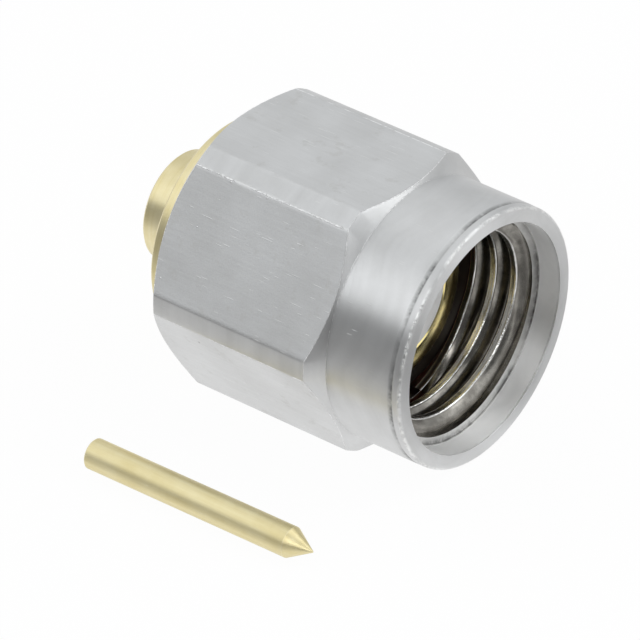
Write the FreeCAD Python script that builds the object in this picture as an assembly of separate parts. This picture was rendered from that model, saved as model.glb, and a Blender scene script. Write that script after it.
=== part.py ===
# Straight coaxial plug for semi-rigid cable, with a captive hexagon coupling nut and a loose centre contact.
# The origin is the centre of the reference plane, the flat front face of the outer contact.
# +X points along the axis to the mating end and +Z points up. The nut lies on one of its flats.
# All sizes are in millimetres.
import FreeCAD
import Part
import math
import os

Vector = FreeCAD.Vector

# Coupling nut, outside
flats_across = 7.94
corner_diameter = 8.82
nut_length = 8.55
nose_diameter = 7.78
nose_length = 2.54
nose_overhang = 2.65
rim_radius = 0.24
corner_cone_angle = 35.0

# Coupling nut, inside, from the mouth to the rear
mouth_diameter = 6.83
mouth_depth = 0.62
thread_major_diameter = 6.4
thread_start_depth = 0.8
thread_length = 1.85
relief_diameter = 6.8
relief_length = 2.2

# Outer contact, barrel, flange and cable ferrule, turned as one piece
contact_diameter = 4.58
contact_edge = 0.05
contact_length = 2.5
shoulder_height = 0.68
flange_diameter = 6.6
flange_thickness = 0.58
flange_gap = 0.1
ferrule_diameter = 3.32
ferrule_length = 1.64
outer_edge = 0.08

# Bores of that piece
insulator_diameter = 3.2
insulator_length = 5.5
insulator_mouth_edge = 0.06
dielectric_diameter = 1.74
cable_stop_thickness = 0.45
cable_bore_diameter = 2.24
cable_lead_in = 0.12

# Retaining ring, a flat ring with a gap, in a groove of the barrel and a groove of the nut
ring_thickness = 0.5
ring_setback = 4.1
ring_inner_diameter = 5.2
ring_outer_diameter = 6.64
ring_gap = 1.0
nut_travel_forward = 0.12
nut_travel_back = 0.08

# Gasket on the outer contact
gasket_thickness = 0.55
gasket_width = 0.55

# Loose centre contact, lying beside the nut
pin_diameter = 0.914
pin_length = 7.64
pin_point_length = 0.75
pin_tip_radius = 0.04
pin_edge = 0.04
pin_solder_bore_diameter = 0.56
pin_solder_bore_depth = 2.6
pin_point_ahead = 2.15
pin_aside = 6.965
pin_turn = 1.05

# Clearances
running_clearance = 0.05
ring_side_clearance = 0.025
ring_root_clearance = 0.05
seat_clearance = 0.01
pin_hole_clearance = 0.013
end_clearance = 0.02


def outline(start, *steps):
    """Closed outline in the X-radius plane. A step is a point, or a middle and an end point of an arc."""
    edges = []
    here = Vector(start[0], 0, start[1])
    first = here
    for step in steps:
        if isinstance(step[0], tuple):
            middle, end = (Vector(x, 0, radius) for x, radius in step)
            edges.append(Part.Arc(here, middle, end).toShape())
        else:
            end = Vector(step[0], 0, step[1])
            edges.append(Part.makeLine(here, end))
        here = end
    edges.append(Part.makeLine(here, first))
    return Part.Wire(edges)


def turned(start, *steps):
    """Solid of revolution about the X axis."""
    face = Part.Face(outline(start, *steps))
    return face.revolve(Vector(0, 0, 0), Vector(1, 0, 0), 360)


def hexagon(rear, front):
    """Hexagonal bar along X, with a flat on top and a flat below."""
    corner = flats_across / math.sqrt(3)
    points = []
    for index in range(7):
        angle = math.radians(60 * index)
        points.append(Vector(rear, corner * math.cos(angle), corner * math.sin(angle)))
    return Part.Face(Part.makePolygon(points)).extrude(Vector(front - rear, 0, 0))


# Places along the axis that several pieces share
nut_front = nose_overhang
nut_rear = nut_front - nut_length
thread_start = nut_front - thread_start_depth
thread_end = thread_start - thread_length
relief_end = thread_end - relief_length
ring_front = -ring_setback + ring_thickness / 2
ring_rear = -ring_setback - ring_thickness / 2
shoulder = -contact_length
flange_front = nut_rear - flange_gap
flange_rear = flange_front - flange_thickness
ferrule_end = flange_rear - ferrule_length
cable_stop_front = -insulator_length
cable_stop_rear = cable_stop_front - cable_stop_thickness

# Radii that several pieces share
contact_radius = contact_diameter / 2
barrel_radius = contact_radius + shoulder_height
nut_bore_radius = barrel_radius + running_clearance
ring_inner_radius = ring_inner_diameter / 2
ring_outer_radius = ring_outer_diameter / 2
pin_radius = pin_diameter / 2


def nut_blank():
    """Hexagon bar with its corners turned down, a cone at each end and a round nose with a rolled rim."""
    corner_radius = corner_diameter / 2
    nose_radius = nose_diameter / 2
    cone_run = (corner_radius - nose_radius) * math.tan(math.radians(corner_cone_angle))
    nose_root = nut_front - nose_length
    rim_centre_x = nut_front - rim_radius
    rim_centre_radius = nose_radius - rim_radius
    rim_offset = rim_radius * math.sqrt(0.5)
    rim_middle = (rim_centre_x + rim_offset, rim_centre_radius + rim_offset)
    envelope = turned(
        (nut_rear, 0),
        (nut_rear, nose_radius),
        (nut_rear + cone_run, corner_radius),
        (nose_root - cone_run, corner_radius),
        (nose_root, nose_radius),
        (rim_centre_x, nose_radius),
        (rim_middle, (nut_front, rim_centre_radius)),
        (nut_front, 0),
    )
    return envelope.common(hexagon(nut_rear - 1, nut_front + 1))


def nut_bore():
    """The nut's inside: mouth, lead-in cone, thread wall, relief, and a running bore with the ring's groove."""
    mouth_radius = mouth_diameter / 2
    thread_radius = thread_major_diameter / 2
    relief_radius = relief_diameter / 2
    groove_radius = ring_outer_radius + ring_root_clearance
    groove_front = ring_front + ring_side_clearance
    groove_rear = ring_rear - ring_side_clearance
    return turned(
        (nut_front + 1, 0),
        (nut_front + 1, mouth_radius),
        (nut_front - mouth_depth, mouth_radius),
        (thread_start, thread_radius),
        (thread_end, thread_radius),
        (thread_end, relief_radius),
        (relief_end, relief_radius),
        (relief_end, nut_bore_radius),
        (groove_front, nut_bore_radius),
        (groove_front, groove_radius),
        (groove_rear, groove_radius),
        (groove_rear, nut_bore_radius),
        (nut_rear - 1, nut_bore_radius),
        (nut_rear - 1, 0),
    )


def coupling_nut():
    return nut_blank().cut(nut_bore())


def connector_body():
    """Outer contact, barrel with the ring's groove, flange and cable ferrule, bored from both ends."""
    flange_radius = flange_diameter / 2
    ferrule_radius = ferrule_diameter / 2
    groove_radius = ring_inner_radius - ring_root_clearance
    groove_front = ring_front + nut_travel_forward + end_clearance
    groove_rear = ring_rear - nut_travel_back - end_clearance
    outside = turned(
        (0, 0),
        (0, contact_radius - contact_edge),
        (-contact_edge, contact_radius),
        (shoulder, contact_radius),
        (shoulder, barrel_radius),
        (groove_front, barrel_radius),
        (groove_front, groove_radius),
        (groove_rear, groove_radius),
        (groove_rear, barrel_radius),
        (flange_front, barrel_radius),
        (flange_front, flange_radius),
        (flange_rear + outer_edge, flange_radius),
        (flange_rear, flange_radius - outer_edge),
        (flange_rear, ferrule_radius),
        (ferrule_end + outer_edge, ferrule_radius),
        (ferrule_end, ferrule_radius - outer_edge),
        (ferrule_end, 0),
    )
    seat_radius = insulator_diameter / 2
    cable_radius = cable_bore_diameter / 2
    inside = turned(
        (insulator_mouth_edge, 0),
        (insulator_mouth_edge, seat_radius + 2 * insulator_mouth_edge),
        (-insulator_mouth_edge, seat_radius),
        (cable_stop_front, seat_radius),
        (cable_stop_front, dielectric_diameter / 2),
        (cable_stop_rear, dielectric_diameter / 2),
        (cable_stop_rear, cable_radius),
        (ferrule_end + cable_lead_in, cable_radius),
        (ferrule_end - cable_lead_in, cable_radius + 2 * cable_lead_in),
        (ferrule_end - cable_lead_in, 0),
    )
    return outside.cut(inside)


def insulator():
    """Plain bead that fills the front bore and holds the centre contact."""
    outer_radius = insulator_diameter / 2 - seat_clearance
    hole_radius = pin_radius + pin_hole_clearance
    return turned(
        (0, hole_radius),
        (0, outer_radius),
        (-insulator_length, outer_radius),
        (-insulator_length, hole_radius),
    )


def gasket():
    """Flat sealing ring against the barrel's shoulder."""
    inner_radius = contact_radius + seat_clearance
    outer_radius = inner_radius + gasket_width
    return turned(
        (shoulder, inner_radius),
        (shoulder, outer_radius),
        (shoulder + gasket_thickness, outer_radius),
        (shoulder + gasket_thickness, inner_radius),
    )


def retaining_ring():
    """Flat spring ring with a gap on top, half in the barrel and half in the nut."""
    ring = turned(
        (ring_rear, ring_inner_radius),
        (ring_rear, ring_outer_radius),
        (ring_front, ring_outer_radius),
        (ring_front, ring_inner_radius),
    )
    corner = Vector(ring_rear - ring_thickness, -ring_gap / 2, 0)
    gap = Part.makeBox(3 * ring_thickness, ring_gap, ring_outer_diameter, corner)
    return ring.cut(gap)


def contact_pin():
    """Plain centre contact with a conical point and a blind solder bore, lying on the nut's resting plane."""
    point_start = -pin_point_length
    rear = -pin_length
    bore_radius = pin_solder_bore_diameter / 2
    bore_end = rear + pin_solder_bore_depth
    tip_middle = (pin_tip_radius * (math.sqrt(0.5) - 1), pin_tip_radius * math.sqrt(0.5))
    pin = turned(
        (0, 0),
        (tip_middle, (-pin_tip_radius, pin_tip_radius)),
        (point_start, pin_radius),
        (rear + pin_edge, pin_radius),
        (rear, pin_radius - pin_edge),
        (rear, bore_radius),
        (bore_end, bore_radius),
        (bore_end + bore_radius, 0),
    )
    pin.rotate(Vector(0, 0, 0), Vector(0, 0, 1), pin_turn)
    pin.translate(Vector(pin_point_ahead, -pin_aside, pin_radius - flats_across / 2))
    return pin


pieces = {
    "coupling_nut": coupling_nut,
    "retaining_ring": retaining_ring,
    "connector_body": connector_body,
    "insulator": insulator,
    "gasket": gasket,
    "contact_pin": contact_pin,
}

os.makedirs("parts", exist_ok=True)
for name, make in pieces.items():
    shape = make()
    shape.exportStep("parts/" + name + ".step")
    print(name, "valid", shape.isValid(), "solids", len(shape.Solids), "volume", round(shape.Volume, 3))
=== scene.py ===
import math

import bmesh
import bpy
from mathutils import Matrix, Vector, noise


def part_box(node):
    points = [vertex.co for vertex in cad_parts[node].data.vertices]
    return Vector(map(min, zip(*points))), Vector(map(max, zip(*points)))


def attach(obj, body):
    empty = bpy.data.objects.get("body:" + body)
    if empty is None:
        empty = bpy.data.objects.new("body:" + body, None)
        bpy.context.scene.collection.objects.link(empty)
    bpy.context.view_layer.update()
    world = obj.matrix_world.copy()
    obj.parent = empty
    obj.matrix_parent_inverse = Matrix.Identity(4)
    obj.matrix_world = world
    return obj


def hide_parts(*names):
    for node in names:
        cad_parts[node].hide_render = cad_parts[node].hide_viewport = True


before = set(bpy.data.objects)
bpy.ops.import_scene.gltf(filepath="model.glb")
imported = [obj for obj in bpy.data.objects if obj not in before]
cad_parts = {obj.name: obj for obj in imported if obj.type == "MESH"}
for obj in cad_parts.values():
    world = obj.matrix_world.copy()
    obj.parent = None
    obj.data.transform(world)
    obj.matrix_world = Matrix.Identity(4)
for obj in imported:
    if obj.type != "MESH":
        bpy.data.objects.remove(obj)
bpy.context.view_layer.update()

scene = bpy.context.scene
scene.view_settings.view_transform = "Standard"

MM = 0.001

# coupling nut, all sizes in millimetres from the reference plane and from the axis
NUT_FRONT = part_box("coupling_nut")[1].x / MM
NUT_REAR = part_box("coupling_nut")[0].x / MM
HALF_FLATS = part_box("coupling_nut")[1].z / MM
CORNER_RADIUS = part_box("coupling_nut")[1].y / MM
CREASE = math.degrees(math.acos(HALF_FLATS / CORNER_RADIUS))
CREASE_SOFTNESS = 0.03
NOSE_RADIUS = 3.89
NOSE_ROOT = NUT_FRONT - 2.54
RIM = 0.24
RIM_STEP = 0.008
CONE_SLOPE = math.tan(math.radians(35))
MOUTH_RADIUS = 3.415
MOUTH_END = NUT_FRONT - 0.7
RELIEF_RADIUS = 3.4
RELIEF_END = -2.2
NUT_BORE = 3.02
NUT_GROOVE_RADIUS = 3.37
NUT_GROOVE_FRONT = -3.825
NUT_GROOVE_REAR = -4.375
FLOOR = -HALF_FLATS

# fine grooves and burred creases of the nut, with the share of painted shade that the grooves show, and of
# bright wear with painted highlight that the creases show
ROOT_GROOVE_DEPTH = 0.015
ROOT_GROOVE_WIDTH = 0.05
RIM_GROOVE_REAR = NUT_FRONT - 0.42
RIM_GROOVE = NUT_FRONT - 0.29
RIM_GROOVE_FRONT = NUT_FRONT - 0.235
RIM_GROOVE_DEPTH = 0.024
RIM_GROOVE_SHADE = 0.75
MOUTH_GROOVE = NUT_FRONT - 0.055
MOUTH_GROOVE_END = NUT_FRONT - 0.085
MOUTH_GROOVE_DEPTH = 0.012
MOUTH_GROOVE_SHADE = 0.25
LEAD_STEP = 0.045
LEAD_STEP_SHADE = 0.7
CREASE_BURR_AND_HIGHLIGHT = 0.9
CREASE_BURR_AND_HIGHLIGHT_DEGREES = 0.25

# thread of the nut
PITCH = 25.4 / 36
FLANK_ANGLE = math.radians(30)
FLANK_BULGE = 0.12
FLANK_STEPS = 8
THREAD_RADIUS = 3.2
THREAD_FRONT = NUT_FRONT - 0.8
THREAD_DEPTH = THREAD_RADIUS - 2.83
CREST_PLACE = 1.467
HALF_BASE = PITCH / 2 - 0.044
HALF_CREST = HALF_BASE - THREAD_DEPTH * math.tan(FLANK_ANGLE)
# share of the crest flat painted bright, as wear and highlight
CREST_WEAR_AND_HIGHLIGHT = 0.35
THREAD_REAR = -0.1
THREAD_LEAD = 0.02
THREAD_STEP = math.radians(1.5)
THREAD_UNEVENNESS = 0.012
REAR_FADE = math.radians(50)
FRONT_FADE = math.radians(25)

# body
CONTACT_RADIUS = 2.29
CONTACT_EDGE = 0.05
SHOULDER = -2.5
BARREL_RADIUS = 2.97
BARREL_GROOVE_RADIUS = 2.55
BARREL_GROOVE_FRONT = -3.71
BARREL_GROOVE_REAR = -4.45
FLANGE_RADIUS = 3.3
FLANGE_FRONT = -6.0
FLANGE_REAR = -6.58
FERRULE_RADIUS = 1.66
FERRULE_END = -8.22
OUTER_EDGE = 0.08
CABLE_RADIUS = 1.12
CABLE_LEAD_IN = 0.12
CABLE_STOP = -5.95
DIELECTRIC_RADIUS = 0.87

# insulator, gasket and retaining ring
INSULATOR_RADIUS = 1.6
INSULATOR_END = -5.5
INSULATOR_EDGE = 0.06
INSULATOR_HOLE = 0.47
SEAT_CLEARANCE = 0.01
GASKET_THICKNESS = 0.55
GASKET_OUTER = 2.85
RING_INNER = 2.6
RING_OUTER = 3.32
RING_FRONT = -3.85
RING_REAR = -4.35
RING_GAP = 1.0

# loose contact, in millimetres from its own point
PIN_RADIUS = 0.457
PIN_LENGTH = 7.64
PIN_POINT = 0.75
PIN_TIP = 0.04
PIN_EDGE = 0.04
PIN_BORE_RADIUS = 0.28
PIN_BORE_END = -5.04
PIN_PLACE = Vector((2.15, -6.965, FLOOR + PIN_RADIUS))
PIN_TURN = math.radians(1.05)


# outlines and meshes
CLOSING_LENGTH = 0.05


def rounded(corners, closed=True, steps=4):
    """Outline whose corners are arcs, as (x, radius, zone of the run that starts there, edge share) points.

    A corner is (x, radius, rounding, zone of the run that starts there), in a groove with its share of
    painted shade.
    The edge share is 0 at both ends of an arc and 1 in its middle. Where there is painted shade it is below
    zero by that share, all over the arc.
    """
    points = []
    count = len(corners)
    for index, (x, r, rounding, zone, *shade_share) in enumerate(corners):
        here = Vector((x, r))
        if not closed and index in (0, count - 1):
            points.append((x, r, zone, 0.0))
            continue
        previous = corners[index - 1]
        before = Vector(previous[:2]) - here
        after = Vector(corners[(index + 1) % count][:2]) - here
        angle = before.angle(after)
        reach = min(rounding / math.tan(angle / 2), 0.45 * before.length, 0.45 * after.length)
        start = here + before.normalized() * reach
        end = here + after.normalized() * reach
        inwards = (before.normalized() + after.normalized()).normalized()
        centre = here + inwards * (reach / math.cos(angle / 2))
        first = start - centre
        turn = first.angle_signed(end - centre)
        for step in range(steps + 1):
            share = step / steps
            spot = centre + Matrix.Rotation(-turn * share, 2) @ first
            edge = -shade_share[0] if shade_share else math.sin(math.pi * share)
            points.append((spot.x, spot.y, zone if step == steps else previous[3], edge))
    return points


def lengths(outline):
    """Length along the outline at each of its points."""
    total = 0.0
    result = [0.0]
    for here, there in zip(outline, outline[1:]):
        total += math.hypot(there[0] - here[0], there[1] - here[1])
        result.append(total)
    return result


def grid(name, columns, zone_of, materials, closed_turn=True, closed_outline=True):
    """Mesh of quads over columns of (x, y, z, length along the outline, edge share), all in millimetres."""
    rows = len(columns[0])
    order = list(materials)
    faces = []
    spots = []
    slots = []
    for column in range(len(columns) if closed_turn else len(columns) - 1):
        right = (column + 1) % len(columns)
        left_u = column / len(columns)
        right_u = (column + 1) / len(columns)
        for row in range(rows if closed_outline else rows - 1):
            up = (row + 1) % rows
            faces.append((column * rows + row, right * rows + row, right * rows + up, column * rows + up))
            low = columns[column][row][3]
            high = columns[column][up][3] if up else low + CLOSING_LENGTH
            spots += [(left_u, low), (right_u, low), (right_u, high), (left_u, high)]
            slots.append(order.index(zone_of(column, row)))
    points = [point for column in columns for point in column]
    mesh = bpy.data.meshes.new(name)
    mesh.from_pydata([tuple(c * MM for c in point[:3]) for point in points], [], faces)
    layer = mesh.uv_layers.new(name="turning")
    for index, spot in enumerate(spots):
        layer.data[index].uv = spot
    edge = mesh.attributes.new("edge", "FLOAT", "POINT")
    for index, point in enumerate(points):
        edge.data[index].value = point[4]
    for index, slot in enumerate(slots):
        mesh.polygons[index].material_index = slot
    for zone in order:
        mesh.materials.append(materials[zone])
    mesh.polygons.foreach_set("use_smooth", [True] * len(mesh.polygons))
    mesh.update()
    made = bpy.data.objects.new(name, mesh)
    scene.collection.objects.link(made)
    return made


def cap_ends(made, rows):
    """Closes both ends of a swept piece."""
    work = bmesh.new()
    work.from_mesh(made.data)
    work.verts.ensure_lookup_table()
    total = len(work.verts)
    work.faces.new([work.verts[i] for i in range(rows)])
    work.faces.new([work.verts[i] for i in range(total - 1, total - rows - 1, -1)])
    work.to_mesh(made.data)
    work.free()


def finish_mesh(made):
    """Joins points that coincide, turns faces outwards and evens the shading of flats beside small arcs."""
    work = bmesh.new()
    work.from_mesh(made.data)
    bmesh.ops.remove_doubles(work, verts=work.verts, dist=1e-8)
    bmesh.ops.recalc_face_normals(work, faces=work.faces)
    work.to_mesh(made.data)
    work.free()
    even = made.modifiers.new("even shading", "WEIGHTED_NORMAL")
    even.keep_sharp = True


def lathe(name, corners, materials, turns=240, closed=True, half_gap=0.0):
    """Turned piece about the X axis. An outline that isn't closed ends on the axis; a gap opens upwards."""
    outline = rounded(corners, closed)
    along = lengths(outline)
    whole = half_gap == 0.0
    start = 0.0 if whole else math.pi / 2 + half_gap
    sweep = 2 * math.pi - 2 * half_gap
    columns = []
    for index in range(turns if whole else turns + 1):
        angle = start + sweep * index / turns
        column = []
        for (x, r, zone, edge), place in zip(outline, along):
            column.append((x, r * math.cos(angle), r * math.sin(angle), place, edge))
        columns.append(column)
    made = grid(name, columns, lambda column, row: outline[row][2], materials, whole, closed)
    if not whole:
        cap_ends(made, len(outline))
    finish_mesh(made)
    return made


# node trees
class Nodes:
    """Short names for making a node tree."""

    def __init__(self, tree):
        self.tree = tree
        tree.nodes.clear()

    def link(self, start, end):
        self.tree.links.new(start, end)

    def node(self, kind, **settings):
        made = self.tree.nodes.new("ShaderNode" + kind)
        for key, value in settings.items():
            setattr(made, key, value)
        return made

    def put(self, socket, value):
        """Links the socket to another one, or gives it a plain value."""
        if isinstance(value, bpy.types.NodeSocket):
            self.link(value, socket)
        else:
            socket.default_value = value

    def math(self, operation, *values, clamp=False):
        made = self.node("Math", operation=operation, use_clamp=clamp)
        for socket, value in zip(made.inputs, values):
            self.put(socket, value)
        return made.outputs[0]

    def times(self, first, *others):
        for other in others:
            first = self.math("MULTIPLY", first, other)
        return first

    def highest(self, first, *others):
        for other in others:
            first = self.math("MAXIMUM", first, other)
        return first

    def blend(self, first, share, second):
        """First times share, and second times the rest of 1."""
        return self.math("ADD", self.times(first, share), self.times(second, 1 - share))

    def split(self, vector):
        """X, Y and Z of a vector."""
        made = self.node("SeparateXYZ")
        self.link(vector, made.inputs[0])
        return made.outputs

    def place(self):
        """Place on the piece, in millimetres."""
        made = self.node("VectorMath", operation="SCALE")
        self.link(self.node("TexCoord").outputs["Object"], made.inputs[0])
        made.inputs["Scale"].default_value = 1 / MM
        return made.outputs[0]

    def along(self):
        """Length along the turned outline, in millimetres."""
        return self.split(self.node("UVMap", uv_map="turning").outputs[0])[1]

    def edge(self):
        """Edge share of the outline."""
        return self.node("Attribute", attribute_name="edge").outputs["Fac"]

    def stretch(self, vector, scale, turn=(0, 0, 0)):
        made = self.node("Mapping")
        self.put(made.inputs["Vector"], vector)
        made.inputs["Scale"].default_value = scale
        made.inputs["Rotation"].default_value = turn
        return made.outputs[0]

    def noise(self, vector, scale=1.0, detail=2.0, rough=0.5):
        made = self.node("TexNoise")
        self.put(made.inputs["Vector"], vector)
        made.inputs["Scale"].default_value = scale
        made.inputs["Detail"].default_value = detail
        made.inputs["Roughness"].default_value = rough
        return made.outputs["Fac"]

    def cells(self, vector, scale):
        """Scattered cells: distance from a cell's middle, and three values that each cell has by chance."""
        made = self.node("TexVoronoi", feature="F1")
        self.put(made.inputs["Vector"], vector)
        made.inputs["Scale"].default_value = scale
        made.inputs["Randomness"].default_value = 1.0
        return made.outputs["Distance"], self.split(made.outputs["Color"])

    def between(self, value, low, high, to_low=0.0, to_high=1.0, smooth=False):
        """Goes from to_low to to_high while the value goes from low to high, and no further."""
        made = self.node("MapRange", interpolation_type="SMOOTHSTEP" if smooth else "LINEAR")
        for index, item in enumerate((value, low, high, to_low, to_high)):
            self.put(made.inputs[index], item)
        return made.outputs[0]

    def within(self, value, start, full, still_full, end):
        """1 from full to still_full, and softly down to 0 at start and at end."""
        rise = self.between(value, start, full, smooth=True)
        return self.times(rise, self.between(value, end, still_full, smooth=True))

    def mixed(self, share, first, second):
        """Goes from the first number to the second one with the share."""
        made = self.node("Mix", data_type="FLOAT")
        for index, item in zip((0, 2, 3), (share, first, second)):
            self.put(made.inputs[index], item)
        return made.outputs[0]

    def colours(self, share, first, second):
        """Goes from the first colour to the second one with the share."""
        made = self.node("Mix", data_type="RGBA")
        for index, item in zip((0, 6, 7), (share, first, second)):
            self.put(made.inputs[index], item)
        return made.outputs[2]

    def turning(self, fineness, waviness):
        """Place for the marks of a turning tool: fine across the marks, long around the axis."""
        split = self.split(self.place())
        joined = self.node("CombineXYZ")
        self.link(self.times(self.along(), fineness), joined.inputs[0])
        self.link(self.times(split[1], waviness), joined.inputs[1])
        self.link(self.times(split[2], waviness), joined.inputs[2])
        return joined.outputs[0]


class Material(Nodes):
    """Node tree of a material with one main shader."""

    def __init__(self, name, metal=False):
        self.material = bpy.data.materials.new(name)
        self.material.use_nodes = True
        super().__init__(self.material.node_tree)
        self.output = self.node("OutputMaterial")
        self.shader = self.node("BsdfPrincipled")
        self.link(self.shader.outputs[0], self.output.inputs[0])
        if metal:
            self.shader.inputs["Metallic"].default_value = 1.0

    def colour(self, value):
        self.put(self.shader.inputs["Base Color"], value)

    def roughness(self, value):
        self.put(self.shader.inputs["Roughness"], value)

    def bumps(self, *layers):
        """Layers of (height, strength, depth in millimetres), one over the other."""
        normal = None
        for height, strength, depth in layers:
            made = self.node("Bump")
            made.inputs["Strength"].default_value = strength
            made.inputs["Distance"].default_value = depth * MM
            self.put(made.inputs["Height"], height)
            if normal is not None:
                self.link(normal, made.inputs["Normal"])
            normal = made.outputs[0]
        self.link(normal, self.shader.inputs["Normal"])

    def grain(self, amount):
        """Draws reflections out across the marks of the turning tool."""
        tangent = self.node("Tangent", direction_type="UV_MAP", uv_map="turning")
        self.shader.inputs["Anisotropic"].default_value = amount
        self.shader.inputs["Anisotropic Rotation"].default_value = 0.25
        self.link(tangent.outputs[0], self.shader.inputs["Tangent"])


# marks that several materials share
def specks(n, vector, scale, size, share):
    """Small round spots: 1 inside a spot. Share is the part of the cells that has one."""
    distance, chance = n.cells(vector, scale)
    dot = n.between(distance, size, size * 0.4, smooth=True)
    return n.times(dot, n.math("LESS_THAN", chance[0], share))


def pitting(n, place, scale, size, share):
    """Small pits, scattered in another way than the bright specks."""
    return specks(n, n.stretch(place, (1, 1, 1), (1, 2, 3)), scale, size, share)


def scratches(n, vector, turn, length, width, share):
    """Thin lines of limited length that run in one direction."""
    distance, chance = n.cells(n.stretch(vector, (1 / length, 1 / width, 1 / width), turn), 1.0)
    line = n.between(distance, 0.22, 0.08, smooth=True)
    return n.times(line, n.math("LESS_THAN", chance[1], share))


def burrs_and_highlights(n, place):
    """Bright, broken stretches of burred edge: partly wear, partly painted highlight."""
    stretches = n.between(n.noise(place, 1.1, 2, 0.6), 0.36, 0.5, smooth=True)
    breaks = n.times(stretches, n.between(n.noise(place, 7, 3, 0.7), 0.4, 0.52))
    return n.times(n.math("MAXIMUM", n.edge(), 0.0), breaks)


def groove_shade_line(n, place):
    """Painted shade: a dark, broken line in the grooves, where the edge share is below zero."""
    amount = n.math("MULTIPLY", n.edge(), -1.0, clamp=True)
    patches = n.between(n.noise(place, 0.7, 2, 0.5), 0.42, 0.56, 0.35, 1.0)
    breaks = n.between(n.noise(place, 5, 3, 0.7), 0.36, 0.56, 0.4, 1.0)
    return n.times(amount, patches, breaks)


# steel
STEEL_LIGHT = (0.735, 0.74, 0.742, 1)
STEEL_DARK = (0.655, 0.658, 0.656, 1)
# light colours of wear; on rounded edges and burred creases they are painted highlight too
STEEL_WEAR_AND_HIGHLIGHT = (0.94, 0.94, 0.93, 1)
STEEL_TORN_AND_HIGHLIGHT = (1, 1, 1, 1)
SMUDGE = (0.5, 0.49, 0.46, 1)
PIT = (0.25, 0.24, 0.23, 1)
# dark colour of the painted shade in the grooves
GROOVE_SHADE = (0.05, 0.05, 0.048, 1)
BURR_ROUGHNESS = 0.3


def steel_drawn():
    """Flats of the hexagon: drawn bar, satin, with light handling marks."""
    n = Material("steel drawn flats", metal=True)
    place = n.place()
    cloud = n.noise(place, 0.55, 3, 0.55)
    streak = n.noise(n.stretch(place, (0.7, 9, 9)), 1, 4, 0.6)
    grain = n.noise(place, 20, 3, 0.65)
    lines = n.highest(scratches(n, place, (0, 0, 0.1), 1.3, 0.05, 0.14),
                      scratches(n, place, (0.3, 0.4, 1.1), 0.7, 0.045, 0.08),
                      scratches(n, place, (0.9, 0.2, 0.5), 0.5, 0.04, 0.06))
    dots = specks(n, place, 1.6, 0.06, 0.3)
    pits = pitting(n, place, 1.1, 0.07, 0.28)
    smudge = n.between(n.noise(place, 1.9, 4, 0.65), 0.56, 0.7, smooth=True)
    burr_and_highlight = burrs_and_highlights(n, place)
    colour = n.colours(n.between(n.blend(cloud, 0.7, streak), 0.35, 0.65), STEEL_DARK, STEEL_LIGHT)
    colour = n.colours(n.times(smudge, 0.22), colour, SMUDGE)
    colour = n.colours(n.times(pits, 0.6), colour, PIT)
    # specks and scratches are lightened as wear; the burred edges as wear with painted highlight
    bright = n.highest(n.times(dots, 0.85), n.times(lines, 0.4), burr_and_highlight)
    n.colour(n.colours(bright, colour, STEEL_TORN_AND_HIGHLIGHT))
    rough = n.math("ADD", n.between(grain, 0.3, 0.7, 0.33, 0.46), n.times(smudge, 0.05))
    n.roughness(n.mixed(burr_and_highlight, rough, BURR_ROUGHNESS))
    torn = n.times(burr_and_highlight, n.noise(place, 12, 2, 0.6))
    n.bumps((streak, 0.2, 0.008), (grain, 0.3, 0.008), (lines, 0.5, 0.008), (dots, 0.8, 0.03),
            (n.math("SUBTRACT", 1.0, pits), 0.8, 0.03), (torn, 0.8, 0.035))
    return n.material


def steel_turned(name, fineness, rough_low, rough_high, depth, light=STEEL_LIGHT, dark=STEEL_DARK):
    """Turned steel, with tool marks around the axis."""
    n = Material(name, metal=True)
    place = n.place()
    marks = n.noise(n.turning(fineness, 0.12), 1, 3, 0.65)
    broad = n.noise(n.turning(fineness * 0.18, 0.3), 1, 2, 0.5)
    cloud = n.noise(place, 1.1, 3, 0.6)
    grain = n.noise(place, 30, 2, 0.6)
    lines = scratches(n, place, (0.2, 0.3, 0.4), 0.6, 0.045, 0.07)
    dots = specks(n, place, 1.6, 0.04, 0.2)
    pits = pitting(n, place, 1.2, 0.06, 0.25)
    burr_and_highlight = burrs_and_highlights(n, place)
    # rounded edges lightened: wear, with painted highlight
    wear_and_highlight = n.highest(n.times(n.edge(), 0.3), burr_and_highlight)
    colour = n.colours(n.between(n.blend(cloud, 0.45, broad), 0.35, 0.65), dark, light)
    colour = n.colours(n.times(pits, 0.55), colour, PIT)
    bright = n.highest(n.times(dots, 0.7), n.times(wear_and_highlight, 0.7), n.times(lines, 0.3))
    colour = n.colours(bright, colour, STEEL_WEAR_AND_HIGHLIGHT)
    # painted shade: the grooves are darkened in the colour
    n.colour(n.colours(groove_shade_line(n, place), colour, GROOVE_SHADE))
    rough = n.between(n.blend(marks, 0.6, grain), 0.35, 0.65, rough_low, rough_high)
    n.roughness(n.mixed(burr_and_highlight, rough, BURR_ROUGHNESS))
    torn = n.times(burr_and_highlight, n.noise(place, 12, 2, 0.6))
    n.grain(0.85)
    n.bumps((marks, 0.35, depth), (broad, 0.1, depth), (grain, 0.16, 0.006), (dots, 0.6, 0.02),
            (n.math("SUBTRACT", 1.0, pits), 0.7, 0.02), (lines, 0.4, 0.008), (torn, 0.8, 0.035))
    return n.material


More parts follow.
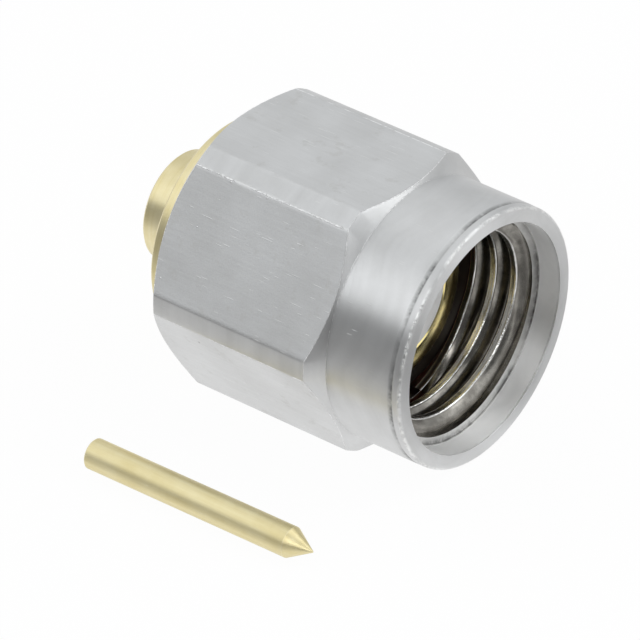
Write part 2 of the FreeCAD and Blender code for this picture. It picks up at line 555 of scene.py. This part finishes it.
def thread_steel():
    """Cut thread: flanks darkened as painted shade, and crests with bright, rough edges that are partly
    wear and partly painted highlight.
    """
    n = Material("steel thread", metal=True)
    place = n.place()
    marks = n.noise(n.turning(26, 0.3), 1, 3, 0.65)
    tear = n.noise(n.turning(9, 5.0), 1, 3, 0.7)
    cloud = n.noise(place, 2.6, 3, 0.6)
    grit = n.noise(place, 22, 3, 0.7)
    crest = n.edge()
    # painted shade: the flanks are coloured far darker than steel
    colour = n.colours(n.between(cloud, 0.35, 0.65), (0.21, 0.198, 0.178, 1), (0.36, 0.345, 0.315, 1))
    # bright crest edges: torn metal, with painted highlight
    bright = n.times(crest, n.between(tear, 0.25, 0.45, 0.6, 1.0))
    n.colour(n.colours(bright, colour, (0.93, 0.925, 0.91, 1)))
    n.roughness(n.between(grit, 0.3, 0.7, 0.16, 0.24))
    n.grain(0.6)
    n.bumps((marks, 0.25, 0.005), (n.times(tear, crest), 0.8, 0.03), (grit, 0.15, 0.006))
    return n.material


# gold and bronze
GOLD_LIGHT = (0.87, 0.785, 0.51, 1)
GOLD_DARK = (0.76, 0.66, 0.36, 1)


def gold(name, fineness, rough_low, rough_high, depth, light=GOLD_LIGHT, dark=GOLD_DARK):
    """Thin gold plating over turned brass, or in other colours bare turned bronze."""
    n = Material(name, metal=True)
    place = n.place()
    marks = n.noise(n.turning(fineness, 0.25), 1, 3, 0.6)
    cloud = n.noise(place, 1.7, 3, 0.55)
    grain = n.noise(place, 34, 2, 0.6)
    dots = specks(n, place, 2.2, 0.05, 0.25)
    colour = n.colours(n.between(n.blend(cloud, 0.5, marks), 0.36, 0.64), dark, light)
    # rounded edges lightened to pale gold: painted highlight
    n.colour(n.colours(n.times(n.edge(), 0.6), colour, (0.95, 0.86, 0.56, 1)))
    n.roughness(n.between(grain, 0.3, 0.7, rough_low, rough_high))
    n.grain(0.5)
    n.bumps((marks, 0.35, depth), (grain, 0.2, 0.006), (dots, 0.5, 0.015))
    return n.material


def drawn_gold():
    """Gold plating of the contact, over wire drawn lengthwise, with a few bright nicks."""
    n = Material("gold pin", metal=True)
    place = n.place()
    drawn = n.noise(n.stretch(place, (0.35, 7, 7)), 1, 4, 0.6)
    fine = n.noise(n.stretch(place, (1.2, 22, 22)), 1, 3, 0.6)
    cloud = n.noise(place, 1.3, 3, 0.6)
    grain = n.noise(place, 36, 2, 0.6)
    nicks = n.highest(specks(n, n.stretch(place, (0.55, 1.6, 1.6)), 2.0, 0.09, 0.2),
                      scratches(n, place, (0, 0, 0), 1.4, 0.035, 0.08))
    colour = n.colours(n.between(n.blend(cloud, 0.4, drawn), 0.36, 0.64),
                       (0.775, 0.675, 0.37, 1), (0.875, 0.79, 0.50, 1))
    # the nicks are wear; the lightened edges are painted highlight
    bright = n.highest(n.times(nicks, 0.6), n.times(n.edge(), 0.5))
    n.colour(n.colours(bright, colour, (0.98, 0.93, 0.74, 1)))
    n.roughness(n.between(grain, 0.3, 0.7, 0.38, 0.5))
    n.bumps((drawn, 0.25, 0.008), (fine, 0.2, 0.004), (grain, 0.15, 0.004), (nicks, 0.5, 0.01))
    return n.material


# plastic and rubber
def plastic():
    """White fluoropolymer, slightly waxy, with faint turning marks."""
    n = Material("white fluoropolymer")
    marks = n.noise(n.turning(22, 0.3), 1, 2, 0.5)
    cloud = n.noise(n.place(), 2.4, 2, 0.5)
    n.colour(n.colours(n.between(cloud, 0.3, 0.7), (0.80, 0.79, 0.77, 1), (0.87, 0.865, 0.85, 1)))
    n.roughness(n.between(marks, 0.3, 0.7, 0.42, 0.58))
    n.shader.inputs["Subsurface Weight"].default_value = 0.15
    n.shader.inputs["Subsurface Radius"].default_value = (0.6 * MM, 0.6 * MM, 0.6 * MM)
    n.bumps((marks, 0.3, 0.008))
    return n.material


def rubber():
    """Red-brown silicone of the sealing ring."""
    n = Material("silicone")
    place = n.place()
    grain = n.noise(place, 18, 3, 0.6)
    cloud = n.noise(place, 3.0, 2, 0.5)
    n.colour(n.colours(n.between(cloud, 0.3, 0.7), (0.33, 0.055, 0.03, 1), (0.42, 0.08, 0.045, 1)))
    n.roughness(n.between(grain, 0.3, 0.7, 0.5, 0.68))
    n.bumps((grain, 0.3, 0.01))
    return n.material


# all materials: fineness of the tool marks, lowest and highest roughness, depth of the marks, colours
steel_flats = steel_drawn()
steel_round = steel_turned("steel turned nose", 10, 0.39, 0.48, 0.010)
steel_face = steel_turned("steel faced rim", 16, 0.42, 0.5, 0.006)
# painted light: the mouth wall is a near-white copy of the turned steel
lit_mouth_steel = steel_turned("steel bored mouth painted light", 12, 0.62, 0.7, 0.006,
                           (0.96, 0.96, 0.953, 1), (0.88, 0.88, 0.873, 1))
steel_lead = steel_turned("steel rough lead-in", 5, 0.3, 0.5, 0.03,
                          (0.9, 0.9, 0.89, 1), (0.5, 0.49, 0.47, 1))
# painted shade: the bore zones inside the nut are coloured far darker than steel
shaded_bore_steel = steel_turned("steel bore painted dark as shade", 14, 0.4, 0.5, 0.01,
                          (0.2, 0.185, 0.16, 1), (0.12, 0.11, 0.095, 1))
steel_thread = thread_steel()
gold_body = gold("gold turned body", 10, 0.28, 0.4, 0.012)
gold_face = gold("gold faced contact", 18, 0.1, 0.16, 0.0015,
                 (0.93, 0.82, 0.45, 1), (0.8, 0.66, 0.28, 1))
gold_pin = drawn_gold()
bronze = gold("spring bronze", 12, 0.28, 0.4, 0.01,
              (0.62, 0.42, 0.24, 1), (0.5, 0.32, 0.17, 1))
white_plastic = plastic()
red_rubber = rubber()


# coupling nut
def nut_angles():
    """Angles round the nut, closer together where a flat meets a turned corner."""
    marks = list(range(-30, 30, 2))
    marks += [sign * (CREASE + 0.2 * step) for sign in (-1, 1) for step in range(-5, 6)]
    marks = sorted(set(round(mark, 3) for mark in marks if -30 <= mark < 30))
    return [math.radians(90 + 60 * side + mark) for side in range(6) for mark in marks]


def off_middle(angle):
    """Degrees from the middle of the flat at this angle, from -30 to 30."""
    return (math.degrees(angle) - 60) % 60 - 30


def hexagon_radius(off):
    """Radius of the hexagon with turned corners, its creases slightly rounded."""
    flat = HALF_FLATS / math.cos(math.radians(off))
    share = max(CREASE_SOFTNESS - abs(flat - CORNER_RADIUS), 0) / CREASE_SOFTNESS
    return min(flat, CORNER_RADIUS) - share * share * CREASE_SOFTNESS / 4


def nut_outline(h):
    """Outline of the nut at an angle where the hexagon has the radius h."""
    cone = (h - NOSE_RADIUS) * CONE_SLOPE
    return [
        (NUT_REAR, NUT_BORE, 0.04, "faced"),
        (NUT_REAR, NOSE_RADIUS, 0.03, "turned"),
        (NUT_REAR + cone, h, 0.035, "flat"),
        (NOSE_ROOT - cone, h, 0.035, "turned"),
        (NOSE_ROOT, NOSE_RADIUS - ROOT_GROOVE_DEPTH, 0.02, "turned"),
        (NOSE_ROOT + ROOT_GROOVE_WIDTH, NOSE_RADIUS, 0.02, "turned"),
        (RIM_GROOVE_REAR, NOSE_RADIUS, 0.01, "turned"),
        # the rim groove, the mouth groove and the lead-in step carry painted shade
        (RIM_GROOVE, NOSE_RADIUS - RIM_GROOVE_DEPTH, 0.03, "turned", RIM_GROOVE_SHADE),
        (RIM_GROOVE_FRONT, NOSE_RADIUS - RIM_STEP, 0.008, "faced"),
        (NUT_FRONT, NOSE_RADIUS - RIM_STEP, RIM - RIM_STEP, "faced"),
        (NUT_FRONT, MOUTH_RADIUS, 0.03, "mouth"),
        (MOUTH_GROOVE, MOUTH_RADIUS + MOUTH_GROOVE_DEPTH, 0.01, "mouth", MOUTH_GROOVE_SHADE),
        (MOUTH_GROOVE_END, MOUTH_RADIUS, 0.01, "mouth"),
        (MOUTH_END, MOUTH_RADIUS, 0.012, "lead"),
        (MOUTH_END - 0.012, MOUTH_RADIUS - LEAD_STEP, 0.004, "lead", LEAD_STEP_SHADE),
        (MOUTH_END - LEAD_STEP, MOUTH_RADIUS - 0.04, 0.004, "lead", LEAD_STEP_SHADE),
        (THREAD_FRONT, THREAD_RADIUS, 0.008, "thread"),
        (0.0, THREAD_RADIUS, 0.02, "bore"),
        (0.0, RELIEF_RADIUS, 0.02, "bore"),
        (RELIEF_END, RELIEF_RADIUS, 0.03, "bore"),
        (RELIEF_END, NUT_BORE, 0.03, "bore"),
        (NUT_GROOVE_FRONT, NUT_BORE, 0.02, "bore"),
        (NUT_GROOVE_FRONT, NUT_GROOVE_RADIUS, 0.02, "bore"),
        (NUT_GROOVE_REAR, NUT_GROOVE_RADIUS, 0.02, "bore"),
        (NUT_GROOVE_REAR, NUT_BORE, 0.02, "bore"),
    ]


def make_nut():
    """Nut with flats, nose, rim and mouth. One of the two creases beside each flat carries a burred edge,
    bright as wear and painted highlight.
    """
    angles = nut_angles()
    offs = [off_middle(angle) for angle in angles]
    columns = []
    for angle, off in zip(angles, offs):
        h = hexagon_radius(off)
        outline = rounded(nut_outline(h))
        # one crease beside each flat is burred: wear, painted bright as highlight too
        burr_and_highlight = CREASE_BURR_AND_HIGHLIGHT if abs(off + CREASE) < CREASE_BURR_AND_HIGHLIGHT_DEGREES else 0.0
        column = []
        for (x, r, zone, edge), place in zip(outline, lengths(outline)):
            share = max(edge, burr_and_highlight) if edge >= 0 and abs(r - h) < 0.01 else edge
            column.append((x, r * math.cos(angle), r * math.sin(angle), place, share))
        columns.append(column)

    def zone_of(column, row):
        """Zone of a quad: a flat ends at the crease, and what lies beyond is a turned corner."""
        zone = outline[row][2]
        middle = (abs(offs[column]) + abs(offs[(column + 1) % len(offs)])) / 2
        return "turned" if zone == "flat" and middle >= CREASE else zone

    nut = grid("nut", columns, zone_of, {
        "flat": steel_flats,
        "turned": steel_round,
        "faced": steel_face,
        "mouth": lit_mouth_steel,
        "lead": steel_lead,
        "thread": steel_thread,
        "bore": shaded_bore_steel,
    })
    finish_mesh(nut)
    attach(nut, "nut")
    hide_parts("coupling_nut")


def flank(x, height, run, rise):
    """Points along a flank that bulges slightly; it starts at x and height and goes on by run and rise."""
    outwards = math.copysign(1, -rise)
    points = []
    for step in range(FLANK_STEPS + 1):
        share = step / FLANK_STEPS
        bulge = FLANK_BULGE * share * (1 - share)
        points.append((x + run * share + outwards * bulge * math.cos(FLANK_ANGLE),
                       height + rise * share + bulge * math.sin(FLANK_ANGLE)))
    return points


def thread_outline():
    """Section of the ridge: rear flank, crest with rounded corners and front flank, as (offset, height)."""
    slope = 1 / math.tan(FLANK_ANGLE)
    rear_run = HALF_BASE - HALF_CREST - 0.006
    front_run = HALF_BASE - HALF_CREST - 0.024
    return flank(-HALF_BASE, 0.0, rear_run, slope * rear_run) + [
        (-HALF_CREST + 0.012, THREAD_DEPTH - 0.004),
        (-HALF_CREST + 0.045, THREAD_DEPTH),
        (-0.01, THREAD_DEPTH),
        (0.03, THREAD_DEPTH),
        (HALF_CREST - 0.028, THREAD_DEPTH),
        (HALF_CREST - 0.012, THREAD_DEPTH - 0.006),
        (HALF_CREST + 0.008, THREAD_DEPTH - 0.02),
    ] + flank(HALF_CREST + 0.024, THREAD_DEPTH - 0.042, front_run, -slope * front_run)


def crest_share(offset, height):
    """How bright the ridge is painted, as wear and highlight: not on the flanks, a little on the crest and
    fully on its edges.
    """
    edge_width = 0.03
    if height < THREAD_DEPTH - edge_width:
        return 0.0
    return CREST_WEAR_AND_HIGHLIGHT if abs(offset) < HALF_CREST - edge_width else 1.0


def make_thread():
    """Right-hand ridge inside the nut, cut by the lead-in cone in front and ending at the relief."""
    outline = thread_outline()
    along = lengths(outline)
    per_turn = PITCH / (2 * math.pi)
    first = (THREAD_REAR - CREST_PLACE) / per_turn
    last = (THREAD_FRONT + THREAD_LEAD - CREST_PLACE) / per_turn
    buried = THREAD_RADIUS + 0.03
    columns = []
    for index in range(int((last - first) / THREAD_STEP) + 1):
        angle = first + THREAD_STEP * index
        middle = CREST_PLACE + per_turn * angle
        fade = min(1, (angle - first) / REAR_FADE, (last - angle) / FRONT_FADE)
        column = []
        for (offset, height), place in zip(outline, along):
            x = middle + offset
            waver = noise.noise(Vector((angle * 4, offset * 9, 1.7)))
            uneven = height * (1 + THREAD_UNEVENNESS * waver / THREAD_DEPTH)
            lead_in = min(THREAD_RADIUS + 2 * (x - THREAD_FRONT), THREAD_RADIUS)
            r = max(THREAD_RADIUS - uneven * fade, lead_in)
            column.append((x, r * math.cos(angle), r * math.sin(angle), place, crest_share(offset, height)))
        # closing points inside the wall
        for offset, place in ((HALF_BASE, along[-1] + 0.05), (-HALF_BASE, along[-1] + 0.6)):
            column.append((middle + offset, buried * math.cos(angle), buried * math.sin(angle), place, 0.0))
        columns.append(column)
    ridge = grid("nut_thread", columns, lambda column, row: "thread", {"thread": steel_thread},
                 closed_turn=False)
    cap_ends(ridge, len(columns[0]))
    finish_mesh(ridge)
    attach(ridge, "nut")


# connector body and what it holds
def make_body():
    body = lathe("body", [
        (0.0, CONTACT_RADIUS - CONTACT_EDGE, 0.02, "turned"),
        (-CONTACT_EDGE, CONTACT_RADIUS, 0.02, "turned"),
        (SHOULDER, CONTACT_RADIUS, 0.03, "turned"),
        (SHOULDER, BARREL_RADIUS, 0.03, "turned"),
        (BARREL_GROOVE_FRONT, BARREL_RADIUS, 0.02, "turned"),
        (BARREL_GROOVE_FRONT, BARREL_GROOVE_RADIUS, 0.02, "turned"),
        (BARREL_GROOVE_REAR, BARREL_GROOVE_RADIUS, 0.02, "turned"),
        (BARREL_GROOVE_REAR, BARREL_RADIUS, 0.02, "turned"),
        (FLANGE_FRONT, BARREL_RADIUS, 0.02, "turned"),
        (FLANGE_FRONT, FLANGE_RADIUS, 0.04, "turned"),
        (FLANGE_REAR + OUTER_EDGE, FLANGE_RADIUS, 0.02, "turned"),
        (FLANGE_REAR, FLANGE_RADIUS - OUTER_EDGE, 0.02, "faced"),
        (FLANGE_REAR, FERRULE_RADIUS, 0.04, "turned"),
        (FERRULE_END + OUTER_EDGE, FERRULE_RADIUS, 0.02, "turned"),
        (FERRULE_END, FERRULE_RADIUS - OUTER_EDGE, 0.02, "faced"),
        (FERRULE_END, CABLE_RADIUS + CABLE_LEAD_IN, 0.02, "turned"),
        (FERRULE_END + CABLE_LEAD_IN, CABLE_RADIUS, 0.02, "turned"),
        (CABLE_STOP, CABLE_RADIUS, 0.02, "turned"),
        (CABLE_STOP, DIELECTRIC_RADIUS, 0.02, "turned"),
        (INSULATOR_END, DIELECTRIC_RADIUS, 0.02, "turned"),
        (INSULATOR_END, INSULATOR_RADIUS, 0.02, "turned"),
        (-INSULATOR_EDGE, INSULATOR_RADIUS, 0.02, "faced"),
        (0.0, INSULATOR_RADIUS + INSULATOR_EDGE, 0.01, "faced"),
    ], {"turned": gold_body, "faced": gold_face})
    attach(body, "connector")
    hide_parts("connector_body")


def make_bead():
    bead_radius = INSULATOR_RADIUS - SEAT_CLEARANCE
    bead = lathe("bead", [
        (0.0, INSULATOR_HOLE, 0.02, "bead"),
        (0.0, bead_radius, 0.03, "bead"),
        (INSULATOR_END, bead_radius, 0.03, "bead"),
        (INSULATOR_END, INSULATOR_HOLE, 0.02, "bead"),
    ], {"bead": white_plastic}, turns=160)
    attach(bead, "connector")
    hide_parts("insulator")


def make_seal():
    seal_radius = CONTACT_RADIUS + SEAT_CLEARANCE
    seal_front = SHOULDER + GASKET_THICKNESS
    seal = lathe("seal", [
        (SHOULDER, seal_radius, 0.1, "seal"),
        (SHOULDER, GASKET_OUTER, 0.1, "seal"),
        (seal_front, GASKET_OUTER, 0.1, "seal"),
        (seal_front, seal_radius, 0.1, "seal"),
    ], {"seal": red_rubber}, turns=160)
    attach(seal, "connector")
    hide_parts("gasket")


def make_ring():
    ring = lathe("ring", [
        (RING_REAR, RING_INNER, 0.04, "ring"),
        (RING_REAR, RING_OUTER, 0.04, "ring"),
        (RING_FRONT, RING_OUTER, 0.04, "ring"),
        (RING_FRONT, RING_INNER, 0.04, "ring"),
    ], {"ring": bronze}, turns=200, half_gap=math.asin(RING_GAP / 2 / RING_OUTER))
    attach(ring, "ring")
    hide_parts("retaining_ring")


def make_pin():
    """Loose contact, lying beside the nut, with its blind solder bore at the rear."""
    pin = lathe("pin", [
        (0.0, 0.0, 0.0, "pin"),
        (-0.3 * PIN_TIP, 0.7 * PIN_TIP, 0.01, "pin"),
        (-PIN_TIP, PIN_TIP, 0.02, "pin"),
        (-PIN_POINT, PIN_RADIUS, 0.03, "pin"),
        (-PIN_LENGTH + PIN_EDGE, PIN_RADIUS, 0.03, "pin"),
        (-PIN_LENGTH, PIN_RADIUS - PIN_EDGE, 0.02, "pin"),
        (-PIN_LENGTH, PIN_BORE_RADIUS, 0.02, "pin"),
        (PIN_BORE_END, PIN_BORE_RADIUS, 0.02, "pin"),
        (PIN_BORE_END + PIN_BORE_RADIUS, 0.0, 0.0, "pin"),
    ], {"pin": gold_pin}, turns=96, closed=False)
    pin.location = PIN_PLACE * MM
    pin.rotation_euler = (0, 0, PIN_TURN)
    bpy.context.view_layer.update()
    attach(pin, "connector")
    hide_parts("contact_pin")


make_nut()
make_thread()
make_body()
make_bead()
make_seal()
make_ring()
make_pin()


# floor
def floor_tones(n):
    """Strength with which the floor shows in the metal, by place in millimetres."""
    spot = n.split(n.place())
    ahead = spot[0]
    side = spot[1]
    # pale under the nut and round the loose contact, darker away from them on the contact's side
    pale = n.between(side, -1, 4, 0.98, 0.84)
    dim = n.between(side, -20, -6, 0.4, 0.72)
    near_nut = n.between(side, -6.1, -4.8, smooth=True)
    near_contact = n.between(n.math("ABSOLUTE", n.math("ADD", side, 7.05)), 1.3, 0.8, smooth=True)
    tone = n.mixed(n.highest(near_nut, near_contact), dim, pale)
    # dark in front of the mouth, and darker still in front on the contact's side
    in_front = n.between(ahead, 3.8, 5.2, smooth=True)
    before_mouth = n.times(in_front, n.within(side, -2, 0, 3.8, 5.5), n.between(ahead, 18, 14, smooth=True))
    tone = n.mixed(before_mouth, tone, 0.27)
    return n.mixed(n.times(in_front, n.between(side, -6, -9, smooth=True)), tone, 0.12)


def make_floor():
    """Floor that the camera sees white, that metal sees in tones and that keeps a faint shadow."""
    reach = 600
    corners = [(-reach, -reach), (reach, -reach), (reach, reach), (-reach, reach)]
    mesh = bpy.data.meshes.new("floor")
    mesh.from_pydata([(x * MM, y * MM, FLOOR * MM) for x, y in corners], [], [(0, 1, 2, 3)])
    floor = bpy.data.objects.new("floor", mesh)
    scene.collection.objects.link(floor)
    n = Material("pale floor")
    n.shader.inputs["Base Color"].default_value = (0.9, 0.9, 0.9, 1)
    n.shader.inputs["Roughness"].default_value = 0.9
    path = n.node("LightPath").outputs
    glow = n.node("Emission")
    glow.inputs["Color"].default_value = (1, 1, 1, 1)
    n.link(n.mixed(path["Is Glossy Ray"], 1.0, floor_tones(n)), glow.inputs["Strength"])
    seen = n.highest(path["Is Camera Ray"], path["Is Glossy Ray"], path["Is Transmission Ray"])
    both = n.node("MixShader")
    n.link(n.times(seen, 0.96), both.inputs[0])
    n.link(n.shader.outputs[0], both.inputs[1])
    n.link(glow.outputs[0], both.inputs[2])
    n.link(both.outputs[0], n.output.inputs[0])
    mesh.materials.append(n.material)


# room
def room_tones(n):
    """Strength of the room by direction.

    Ahead is the part of the direction along the nut's axis. Turn goes round the axis in degrees: 0 is
    level on the right, 90 is straight up and 180 is level on the contact's side.
    """
    ahead, side, height = n.split(n.node("TexCoord").outputs["Generated"])
    turn = n.times(n.math("ARCTAN2", height, side), 180 / math.pi)
    # light ceiling, lower walls a little darker
    wall = n.between(ahead, -0.4, -0.2, 0.77, 0.62, smooth=True)
    tone = n.mixed(n.between(turn, 62, 78, smooth=True), wall, 0.97)
    # dark stretch of the ceiling ahead, and a bright wall ahead on the right
    forward = n.between(ahead, 0.25, 0.45, smooth=True)
    tone = n.mixed(n.times(forward, n.between(turn, 88, 98, smooth=True)), tone, 0.16)
    right = n.between(ahead, 0.15, 0.45, smooth=True)
    tone = n.mixed(n.times(right, n.within(turn, 18, 45, 88, 98)), tone, 1.1)
    # dark low down on the contact's side
    low_left = n.between(ahead, -0.1, 0.15, 0.33, 0.12, smooth=True)
    tone = n.mixed(n.between(turn, 155, 160, smooth=True), tone, low_left)
    # bright panel high on the contact's side, brighter and starting further over towards the front
    late_turn = n.math("SUBTRACT", turn, n.between(ahead, 0.0, 0.2, 0, 15))
    panel = n.times(n.between(late_turn, 110, 116, smooth=True), n.between(turn, 157.5, 149, smooth=True),
                      n.between(ahead, 0.64, 0.5, smooth=True))
    tone = n.mixed(panel, tone, n.between(ahead, 0.0, 0.3, 1.1, 1.35))
    # bright stretch far ahead on the right, and the wall straight ahead
    far_right = n.times(n.between(ahead, 0.6, 0.75, smooth=True), n.within(turn, 2, 14, 66, 80))
    tone = n.mixed(far_right, tone, 1.2)
    return n.mixed(n.between(ahead, 0.965, 0.985, smooth=True), tone, 0.9)


def make_room():
    world = bpy.data.worlds.new("studio")
    scene.world = world
    world.use_nodes = True
    n = Nodes(world.node_tree)
    back = n.node("Background")
    back.inputs["Color"].default_value = (0.985, 1.0, 1.012, 1)
    n.link(room_tones(n), back.inputs["Strength"])
    n.link(back.outputs[0], n.node("OutputWorld").inputs[0])


# lamps and camera
def lamp(name, place, width, power):
    """Square soft lamp that shines at the reference plane; place and width are in millimetres."""
    data = bpy.data.lights.new(name, "AREA")
    data.size = width * MM
    data.energy = power
    made = bpy.data.objects.new(name, data)
    made.location = Vector(place) * MM
    made.rotation_euler = (-Vector(place)).to_track_quat("-Z", "Y").to_euler()
    scene.collection.objects.link(made)


def make_camera():
    """Camera of the photo; the aim and the distance are in millimetres."""
    azimuth = math.radians(37.99)
    elevation = math.radians(33.99)
    roll = math.radians(-0.49)
    aim = Vector((-2.671, -0.582, -1.310))
    distance = 201.58
    data = bpy.data.cameras.new("camera")
    data.lens = 406.9
    data.sensor_width = 36
    data.clip_start = 0.01
    data.clip_end = 10
    camera = bpy.data.objects.new("camera", data)
    scene.collection.objects.link(camera)
    back_way = Vector((math.sin(azimuth) * math.cos(elevation),
                       -math.cos(azimuth) * math.cos(elevation),
                       math.sin(elevation)))
    heading = back_way.to_track_quat("Z", "Y").to_matrix() @ Matrix.Rotation(-roll, 3, "Z")
    camera.matrix_world = Matrix.Translation((aim + back_way * distance) * MM) @ heading.to_4x4()
    scene.camera = camera


make_floor()
make_room()
lamp("softbox above the camera", (77, -82, 101), 46, 0.015)
lamp("softbox left of the camera", (77, -113, 65), 46, 0.015)
lamp("softbox right", (85, 86, 119), 80, 0.032)
make_camera()
